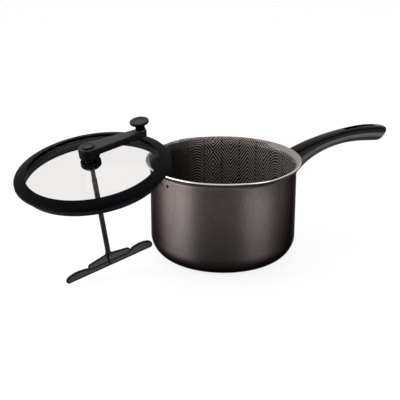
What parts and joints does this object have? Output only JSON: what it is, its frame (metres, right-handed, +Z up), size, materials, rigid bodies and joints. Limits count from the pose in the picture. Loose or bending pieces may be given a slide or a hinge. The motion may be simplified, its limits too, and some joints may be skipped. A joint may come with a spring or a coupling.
{
  "type": "saucepan with glass lid",
  "caption": "Deep metal saucepan with a black handle and a rimmed glass lid that carries a hand-cranked stirrer.",
  "frame": {"origin": "centre of the pan's flat underside", "axes": "+X out along the handle, +Z up, towards the pan's rim"},
  "size_m": [0.589, 0.2244, 0.2216],
  "materials": {
    "pan_coating": "satin metallic coating with a fine sparkle",
    "handle_phenolic": "glossy moulded phenolic",
    "lid_glass": "clear, domed",
    "rim_plastic": "satin moulded plastic",
    "seal_rubber": "matte",
    "crank_plastic": "satin moulded plastic",
    "shaft_coating": "satin dark coating",
    "steel": "plain"
  },
  "bodies": {
    "pan": {"pan_shell": "pan_coating", "handle_bracket": "steel", "handle_grip": "handle_phenolic", "handle_screw": "steel"},
    "lid": {"lid_glass": "lid_glass", "lid_rim": "rim_plastic", "gasket_upper": "seal_rubber", "gasket_lower": "seal_rubber", "shaft_bush": "crank_plastic", "bush_nut": "crank_plastic"},
    "slip": {"slip_washer": "crank_plastic"},
    "crank": {"crank_arm": "crank_plastic", "hub_screw": "steel", "hub_cap": "crank_plastic", "stirrer_shaft": "shaft_coating", "stirrer_paddle": "crank_plastic", "paddle_pin": "steel", "knob_spindle": "steel", "knob_washer": "steel"},
    "knob": {"knob_body": "crank_plastic", "knob_cap": "crank_plastic"}
  },
  "joints": [
    {"name": "lid_lift", "type": "slide", "parent": "pan", "child": "lid", "axis": [0, 0, 1], "range_m": [0, 0.16]},
    {"name": "stirrer_float", "type": "slide", "parent": "lid", "child": "slip", "axis": [-0.1882, -0.098, 0.9772], "range_m": [0, 0.0165]},
    {"name": "crank_turn", "type": "hinge", "parent": "slip", "child": "crank", "pos_m": [-0.20241, -0.00684, 0.15803], "axis": [-0.1882, -0.098, 0.9772], "continuous": true},
    {"name": "knob_spin", "type": "hinge", "parent": "crank", "child": "knob", "pos_m": [-0.13739, -0.01651, 0.21052], "axis": [-0.1882, -0.098, 0.9772], "continuous": true}
  ]
}
